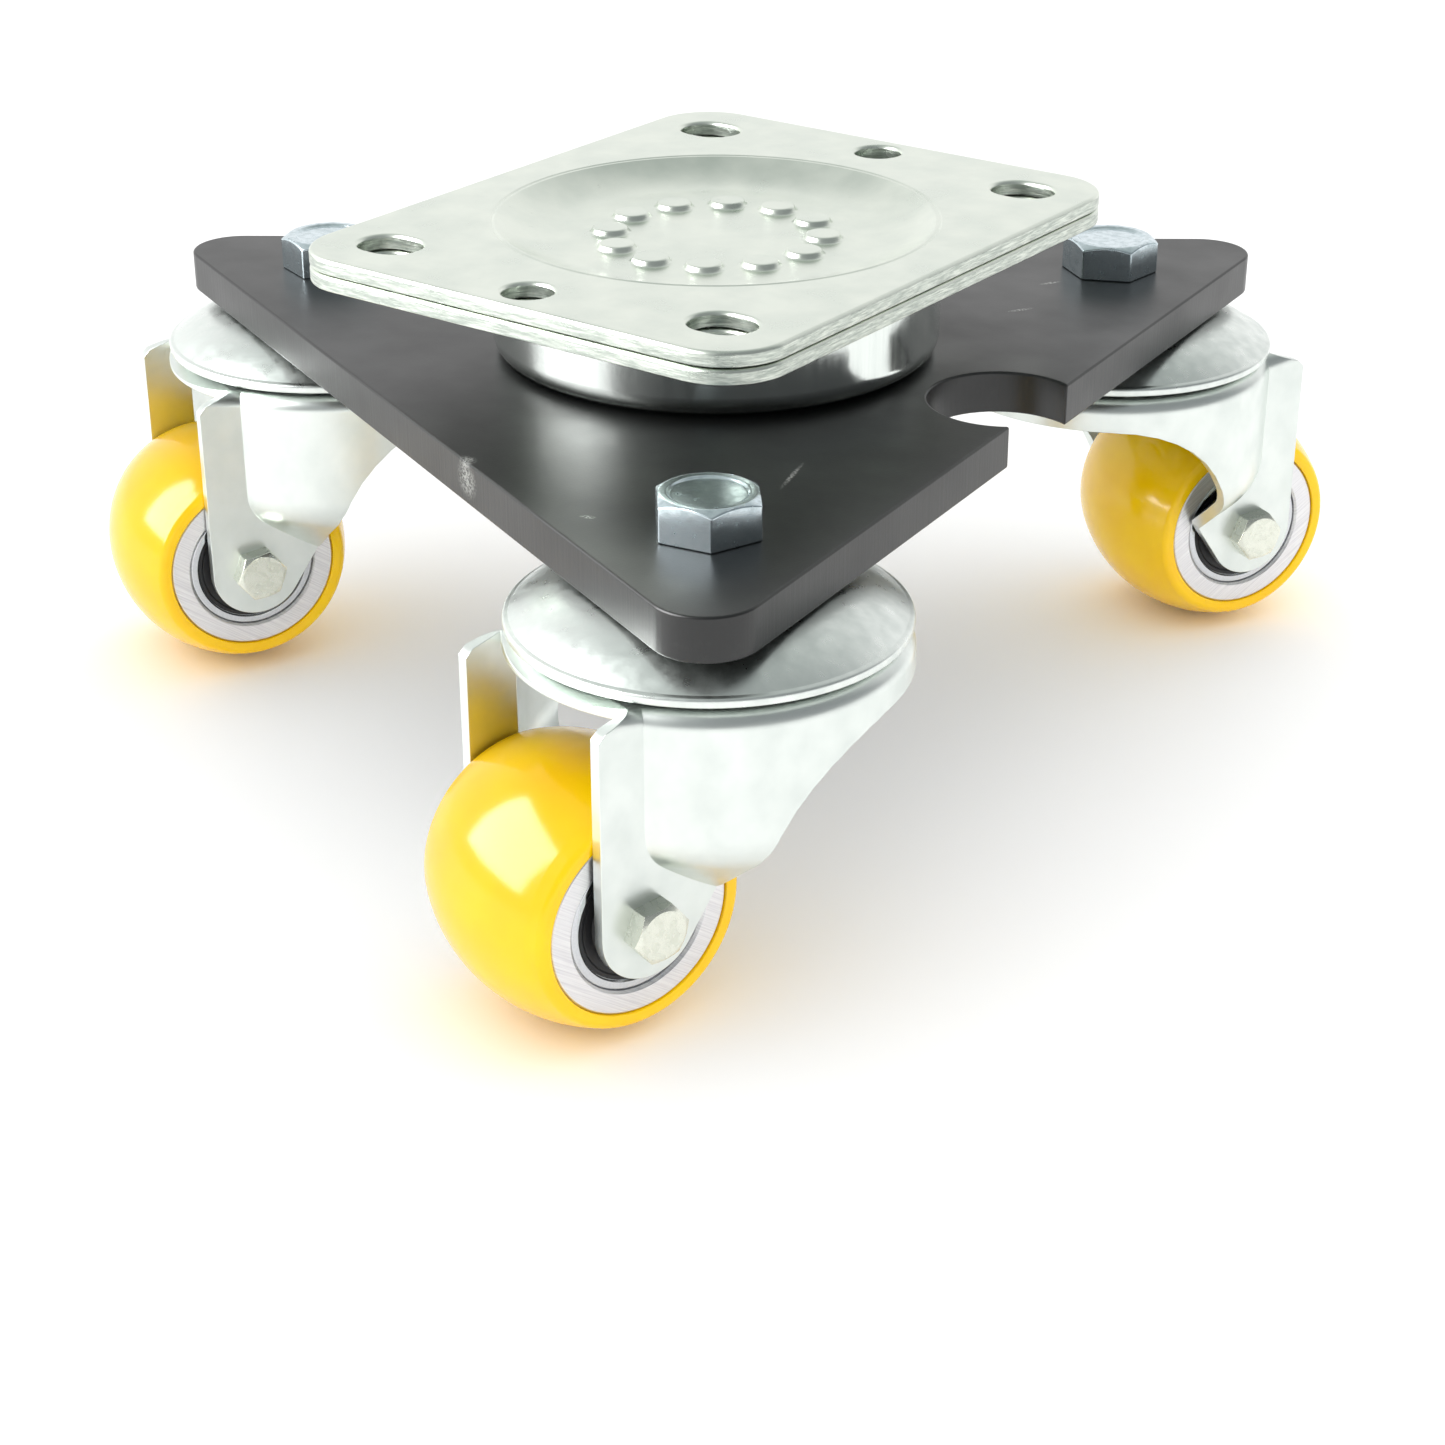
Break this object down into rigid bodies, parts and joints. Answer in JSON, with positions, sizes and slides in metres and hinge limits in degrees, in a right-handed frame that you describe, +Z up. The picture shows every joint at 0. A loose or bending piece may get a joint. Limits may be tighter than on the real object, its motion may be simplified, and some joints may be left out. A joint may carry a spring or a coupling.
{
  "type": "furniture dolly",
  "caption": "Low triangular dolly: a turntable with a slotted rectangular mounting plate over a flat base plate on swivel castors with crowned yellow wheels.",
  "frame": {"origin": "centre of the mounting plate's top face, on the turntable axis", "axes": "+Z up out of the mounting plate; +X along its short side, the way the slots run; +Y along its long side"},
  "size_m": [0.2325, 0.2762, 0.111],
  "materials": {
    "zinc_sheet": "bright zinc-plated sheet steel, satin",
    "zinc_bolts": "blue-passivated zinc, semi-gloss",
    "bare_steel": "turned steel, oiled",
    "bearing_steel": "ground bearing steel",
    "black_steel": "satin black powder coat",
    "bronze": "turned bronze",
    "polyurethane": "yellow cast polyurethane, glossy",
    "aluminium": "turned aluminium",
    "seal_rubber": "black seal rubber, matt"
  },
  "bodies": {
    "mounting_head": {"upper_plate": "zinc_sheet", "lower_plate": "zinc_sheet", "king_pin": "bare_steel", "king_washer": "zinc_bolts", "king_nut": "zinc_bolts"},
    "turntable_ball_set": {"turntable_balls": "bearing_steel"},
    "chassis": {"drum": "zinc_sheet", "drum_race": "bare_steel", "king_bush": "bronze", "base_plate": "black_steel", "castor_bolts": "zinc_bolts", "castor_washers": "zinc_bolts", "castor_nuts": "zinc_bolts", "king_rivets": "bare_steel", "lower_races": "bare_steel", "cap_front": "zinc_sheet", "cap_right": "zinc_sheet", "cap_left": "zinc_sheet"},
    "fork_body_front": {"fork_front": "zinc_sheet", "inner_rings_front": "bearing_steel", "spacer_front": "bare_steel", "axle_tube_front": "bare_steel", "axle_bolt_front": "zinc_bolts", "axle_nut_front": "zinc_bolts"},
    "swivel_ball_set_front": {"swivel_balls_front": "bearing_steel"},
    "wheel_front": {"tyre_front": "polyurethane", "hub_front": "aluminium", "outer_rings_front": "bearing_steel", "seals_front": "seal_rubber"},
    "bearing_ball_set_front": {"bearing_balls_front": "bearing_steel"},
    "fork_body_right": {"fork_right": "zinc_sheet", "inner_rings_right": "bearing_steel", "spacer_right": "bare_steel", "axle_tube_right": "bare_steel", "axle_bolt_right": "zinc_bolts", "axle_nut_right": "zinc_bolts"},
    "swivel_ball_set_right": {"swivel_balls_right": "bearing_steel"},
    "wheel_right": {"tyre_right": "polyurethane", "hub_right": "aluminium", "outer_rings_right": "bearing_steel", "seals_right": "seal_rubber"},
    "bearing_ball_set_right": {"bearing_balls_right": "bearing_steel"},
    "fork_body_left": {"fork_left": "zinc_sheet", "inner_rings_left": "bearing_steel", "spacer_left": "bare_steel", "axle_tube_left": "bare_steel", "axle_bolt_left": "zinc_bolts", "axle_nut_left": "zinc_bolts"},
    "swivel_ball_set_left": {"swivel_balls_left": "bearing_steel"},
    "wheel_left": {"tyre_left": "polyurethane", "hub_left": "aluminium", "outer_rings_left": "bearing_steel", "seals_left": "seal_rubber"},
    "bearing_ball_set_left": {"bearing_balls_left": "bearing_steel"}
  },
  "joints": [
    {"name": "turntable_turn", "type": "hinge", "parent": "mounting_head", "child": "chassis", "pos_m": [0, 0, 0], "axis": [0, 0, 1], "continuous": true},
    {"name": "turntable_balls_roll", "type": "hinge", "parent": "mounting_head", "child": "turntable_ball_set", "pos_m": [0, 0, 0], "axis": [0, 0, 1], "continuous": true},
    {"name": "swivel_front", "type": "hinge", "parent": "chassis", "child": "fork_body_front", "pos_m": [0.05749, -0.0806, -0.046], "axis": [0, 0, 1], "continuous": true},
    {"name": "swivel_balls_roll_front", "type": "hinge", "parent": "chassis", "child": "swivel_ball_set_front", "pos_m": [0.05749, -0.0806, -0.046], "axis": [0, 0, 1], "continuous": true},
    {"name": "wheel_spin_front", "type": "hinge", "parent": "fork_body_front", "child": "wheel_front", "pos_m": [0.04906, -0.10782, -0.0855], "axis": [0.9553, -0.2957, 0], "continuous": true},
    {"name": "bearing_balls_roll_front", "type": "hinge", "parent": "fork_body_front", "child": "bearing_ball_set_front", "pos_m": [0.04906, -0.10782, -0.0855], "axis": [0.9553, -0.2957, 0], "continuous": true},
    {"name": "swivel_right", "type": "hinge", "parent": "chassis", "child": "fork_body_right", "pos_m": [0.04106, 0.09009, -0.046], "axis": [0, 0, 1], "continuous": true},
    {"name": "swivel_balls_roll_right", "type": "hinge", "parent": "chassis", "child": "swivel_ball_set_right", "pos_m": [0.04106, 0.09009, -0.046], "axis": [0, 0, 1], "continuous": true},
    {"name": "wheel_spin_right", "type": "hinge", "parent": "fork_body_right", "child": "wheel_right", "pos_m": [0.05526, 0.11479, -0.0855], "axis": [-0.8669, 0.4985, 0], "continuous": true},
    {"name": "bearing_balls_roll_right", "type": "hinge", "parent": "fork_body_right", "child": "bearing_ball_set_right", "pos_m": [0.05526, 0.11479, -0.0855], "axis": [-0.8669, 0.4985, 0], "continuous": true},
    {"name": "swivel_left", "type": "hinge", "parent": "chassis", "child": "fork_body_left", "pos_m": [-0.09854, -0.00949, -0.046], "axis": [0, 0, 1], "continuous": true},
    {"name": "swivel_balls_roll_left", "type": "hinge", "parent": "chassis", "child": "swivel_ball_set_left", "pos_m": [-0.09854, -0.00949, -0.046], "axis": [0, 0, 1], "continuous": true},
    {"name": "wheel_spin_left", "type": "hinge", "parent": "fork_body_left", "child": "wheel_left", "pos_m": [-0.11148, -0.03488, -0.0855], "axis": [0.891, -0.454, 0], "continuous": true},
    {"name": "bearing_balls_roll_left", "type": "hinge", "parent": "fork_body_left", "child": "bearing_ball_set_left", "pos_m": [-0.11148, -0.03488, -0.0855], "axis": [0.891, -0.454, 0], "continuous": true}
  ],
  "couplings": [
    {"joint": "turntable_balls_roll", "follows": "turntable_turn", "ratio": 0.5},
    {"joint": "swivel_balls_roll_front", "follows": "swivel_front", "ratio": 0.5},
    {"joint": "bearing_balls_roll_front", "follows": "wheel_spin_front", "ratio": 0.62},
    {"joint": "swivel_balls_roll_right", "follows": "swivel_right", "ratio": 0.5},
    {"joint": "bearing_balls_roll_right", "follows": "wheel_spin_right", "ratio": 0.62},
    {"joint": "swivel_balls_roll_left", "follows": "swivel_left", "ratio": 0.5},
    {"joint": "bearing_balls_roll_left", "follows": "wheel_spin_left", "ratio": 0.62}
  ]
}
